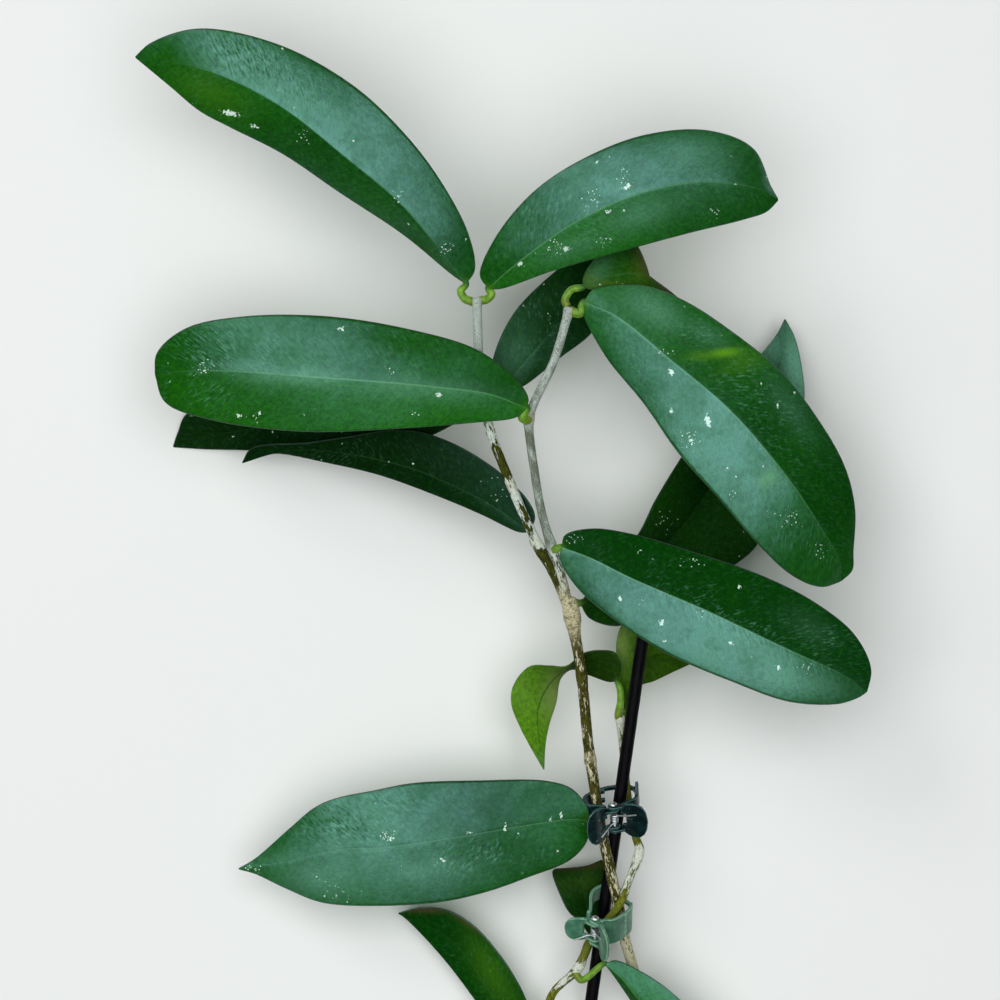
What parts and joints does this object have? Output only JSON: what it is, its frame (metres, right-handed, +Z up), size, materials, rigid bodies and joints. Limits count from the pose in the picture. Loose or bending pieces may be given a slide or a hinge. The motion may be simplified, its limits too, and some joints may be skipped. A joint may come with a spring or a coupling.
{
  "type": "hoya graveolens vine",
  "caption": "Cut length of a climbing hoya with long glossy leaves, clipped to a thin black stake and lying on its back.",
  "frame": {"origin": "middle of the bounding box's base, on the surface that the vine rests on", "axes": "+Y runs up the vine, +X to the right as seen from its front, +Z is up, out of the leaves' front faces"},
  "size_m": [0.2652, 0.4096, 0.0654],
  "materials": {
    "leaf": "glossy, waxy green blade",
    "dark_leaf": "satin dark green blade, in shade",
    "young_leaf": "satin yellow-green blade",
    "bark": "matt, cracked grey-brown bark",
    "green_stem": "matt olive stem",
    "stake": "satin near-black plastic rod",
    "teal_plastic": "glossy moulded plastic",
    "sage_plastic": "semi-gloss moulded plastic",
    "steel": "bright plated steel"
  },
  "bodies": {
    "plant": {"vine_main": "bark", "second_stem": "green_stem", "stake": "stake", "leaf_top_left": "leaf", "leaf_top_right": "leaf", "leaf_behind_fork": "dark_leaf", "leaf_middle_left": "leaf", "leaf_right_front": "leaf", "leaf_arched_back": "dark_leaf", "leaf_right_back": "dark_leaf", "leaf_middle_right": "leaf", "leaf_left_shaded": "dark_leaf", "leaf_left_low": "dark_leaf", "young_leaf_twisted": "young_leaf", "young_leaf_shaded": "young_leaf", "leaf_lower_left": "leaf", "young_leaf_curled": "dark_leaf", "leaf_foot_left": "leaf", "leaf_foot_right": "leaf", "clip_upper_jaw_left": "teal_plastic", "clip_upper_pin": "steel", "clip_upper_spring": "steel", "clip_lower_jaw_left": "sage_plastic", "clip_lower_pin": "steel", "clip_lower_spring": "steel"},
    "upper_jaw": {"clip_upper_jaw_right": "teal_plastic"},
    "lower_jaw": {"clip_lower_jaw_right": "sage_plastic"}
  },
  "joints": [
    {"name": "upper_clip_hinge", "type": "hinge", "parent": "plant", "child": "upper_jaw", "pos_m": [0.04015, -0.07942, 0.0283], "axis": [0.077, -0.8796, -0.4695], "range_deg": [0, 25], "stiffness_Nm_per_rad": 0.02, "springref_deg": -28.65, "deforming": ["clip_upper_spring"]},
    {"name": "lower_clip_hinge", "type": "hinge", "parent": "plant", "child": "lower_jaw", "pos_m": [0.03322, -0.12081, 0.026], "axis": [0, -0.848, -0.5299], "range_deg": [0, 30], "stiffness_Nm_per_rad": 0.02, "springref_deg": -28.65, "deforming": ["clip_lower_spring"]}
  ]
}
